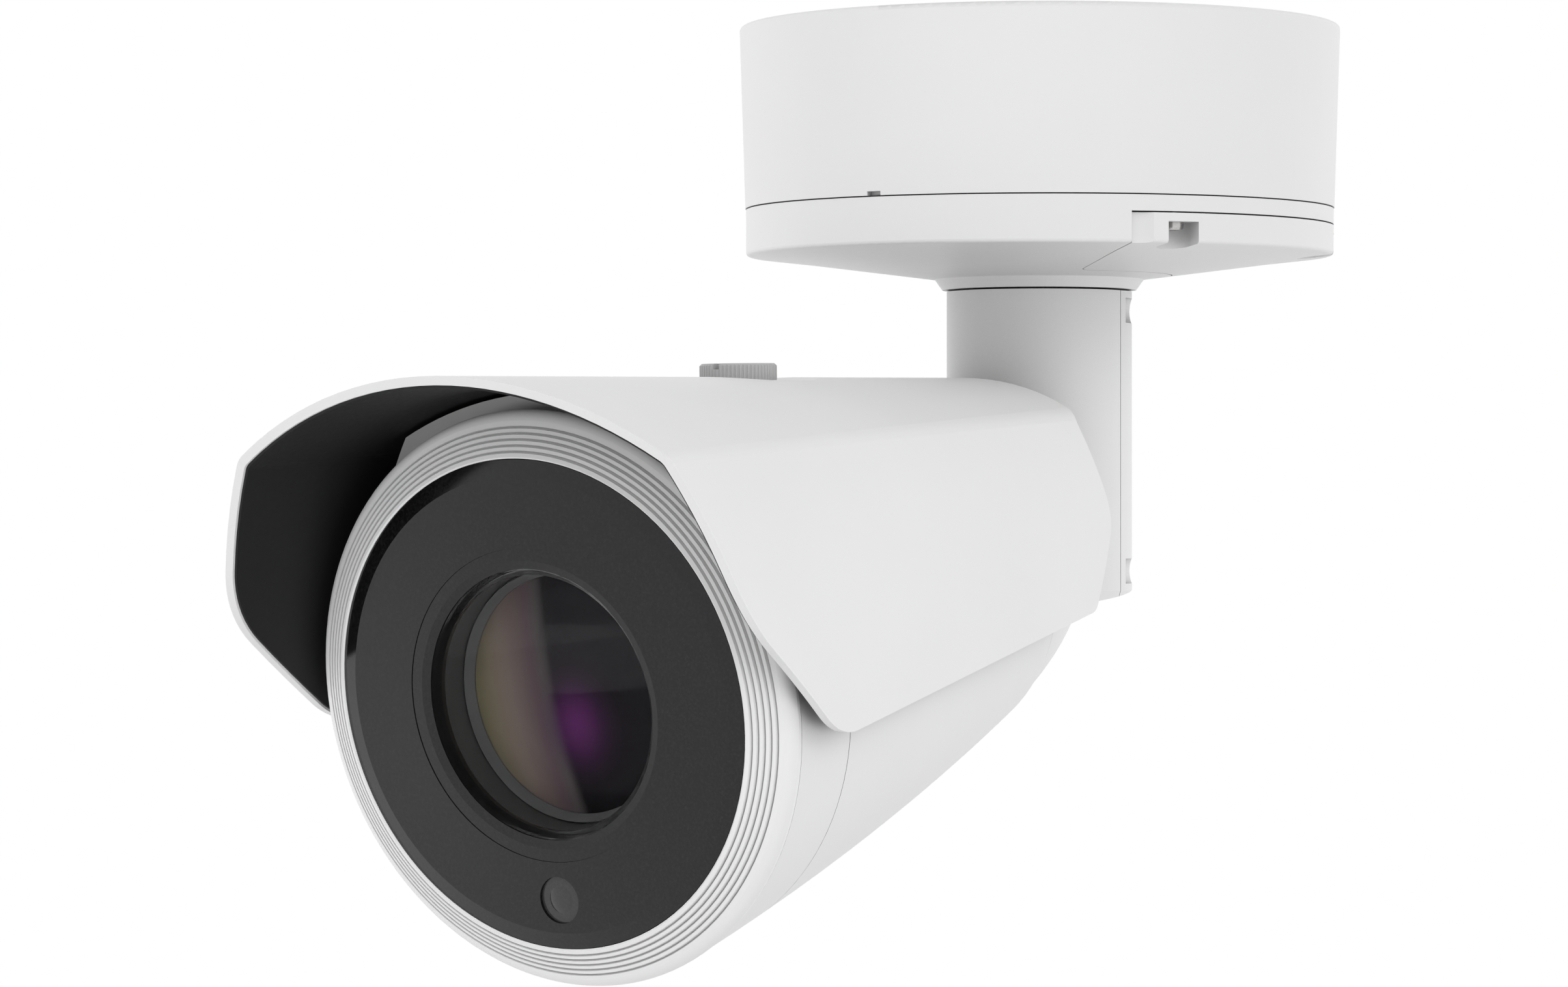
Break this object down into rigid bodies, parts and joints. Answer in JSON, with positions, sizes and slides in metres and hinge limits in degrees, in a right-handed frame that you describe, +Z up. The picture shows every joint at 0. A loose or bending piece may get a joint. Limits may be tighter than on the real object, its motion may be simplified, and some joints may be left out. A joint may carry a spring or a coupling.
{
  "type": "security camera",
  "caption": "Bullet security camera hung from a round ceiling box by a pan and tilt arm, with a rolling body, a sliding tapered sunshield, a motorised zoom lens and a black front window.",
  "frame": {"origin": "on the pan axis in the plane of the ceiling box's flat top", "axes": "+Z up along the pan axis, -Y the way the camera looks, +X to the side with the service hatch"},
  "size_m": [0.1639, 0.3471, 0.2479],
  "materials": {
    "white_paint": "satin powder coat",
    "die_cast_painted": "satin powder coat",
    "die_cast": "as cast",
    "raw_aluminium": "milled",
    "steel": "bright zinc",
    "rubber": "matte",
    "black_liner": "matte",
    "grey_plastic": "satin",
    "knob_grey": "satin",
    "bearing_plastic": "smooth acetal",
    "black_plastic": "matte",
    "green_plastic": "satin",
    "circuit_board": "solder mask",
    "black_gloss": "gloss",
    "led_resin": "clear dark resin",
    "clear_glass": "clear",
    "eye_glass": "smoked",
    "coated_glass": "anti-reflection coating",
    "filter_glass": "coated"
  },
  "bodies": {
    "base": {"back_box": "white_paint", "box_seal": "rubber", "junction_board": "circuit_board", "network_jack": "black_plastic", "terminal_block": "green_plastic", "base_cover": "white_paint", "hatch_cover": "white_paint", "hatch_screws": "steel", "cover_screws": "steel", "pan_bush": "bearing_plastic", "pan_lock_screw": "steel"},
    "arm": {"pan_spindle": "die_cast", "spindle_screws": "steel", "pan_retainer": "steel", "arm_housing": "white_paint", "arm_cover": "white_paint", "arm_screws": "steel", "tilt_bolt": "steel", "tilt_nut": "steel", "friction_washers": "bearing_plastic"},
    "neck": {"tilt_knuckle": "die_cast_painted", "tail_collar": "white_paint", "collar_screws": "steel", "roll_retainer": "steel"},
    "camera": {"rear_housing": "white_paint", "roll_bush": "bearing_plastic", "housing_seal": "rubber", "front_housing": "white_paint", "housing_screws": "steel", "front_bezel": "white_paint", "front_cover": "black_gloss", "lens_window": "clear_glass", "eye_window": "eye_glass", "led_board": "circuit_board", "infrared_leds": "led_resin", "led_heat_spreader": "raw_aluminium", "lens_shroud": "black_plastic", "lens_barrel": "black_plastic", "front_element": "coated_glass", "rear_element": "coated_glass", "barrel_end_plate": "black_plastic", "guide_rods": "steel", "lens_motors": "steel", "sensor_board": "circuit_board", "chassis": "raw_aluminium", "main_board": "circuit_board", "board_heat_sink": "raw_aluminium", "saddle": "grey_plastic", "saddle_screws": "steel"},
    "shield": {"sunshield": "white_paint", "shield_liner": "black_liner"},
    "knob": {"thumb_knob": "knob_grey", "knob_washer": "steel"},
    "zoom_group": {"zoom_carrier": "black_plastic", "zoom_glass": "coated_glass"},
    "focus_group": {"focus_carrier": "black_plastic", "focus_glass": "coated_glass"},
    "zoom_drive": {"zoom_screw": "steel"},
    "focus_drive": {"focus_screw": "steel"},
    "filter": {"filter_slide": "filter_glass"}
  },
  "joints": [
    {"name": "pan", "type": "hinge", "parent": "base", "child": "arm", "pos_m": [0, 0, -0.0723], "axis": [0, 0, 1], "range_deg": [-175, 175]},
    {"name": "tilt", "type": "hinge", "parent": "arm", "child": "neck", "pos_m": [0, 0, -0.139], "axis": [1, 0, 0], "range_deg": [-10.2, 79.8]},
    {"name": "roll", "type": "hinge", "parent": "neck", "child": "camera", "pos_m": [0, -0.05925, -0.14966], "axis": [0, -0.9842, -0.1771], "range_deg": [-175, 175]},
    {"name": "shield_slide", "type": "slide", "parent": "camera", "child": "shield", "axis": [0, -0.9998, -0.0184], "range_m": [0, 0.008]},
    {"name": "knob_turn", "type": "hinge", "parent": "camera", "child": "knob", "pos_m": [0, -0.14122, -0.09843], "axis": [0, -0.0184, 0.9998], "range_deg": [-90, 360]},
    {"name": "zoom", "type": "slide", "parent": "camera", "child": "zoom_group", "axis": [0, 0.9842, 0.1771], "range_m": [0, 0.018]},
    {"name": "zoom_screw_turn", "type": "hinge", "parent": "camera", "child": "zoom_drive", "pos_m": [0, -0.16803, -0.14932], "axis": [0, -0.9842, -0.1771], "range_deg": [-10, 1630]},
    {"name": "focus", "type": "slide", "parent": "camera", "child": "focus_group", "axis": [0, -0.9842, -0.1771], "range_m": [0, 0.008]},
    {"name": "focus_screw_turn", "type": "hinge", "parent": "camera", "child": "focus_drive", "pos_m": [0, -0.16109, -0.1879], "axis": [0, -0.9842, -0.1771], "range_deg": [-10, 730]},
    {"name": "filter_shift", "type": "slide", "parent": "camera", "child": "filter", "axis": [1, 0, 0], "range_m": [0, 0.0116]}
  ],
  "couplings": [
    {"joint": "zoom_screw_turn", "follows": "zoom", "rad_per_m": 1570.8},
    {"joint": "focus_screw_turn", "follows": "focus", "rad_per_m": 1570.8}
  ]
}
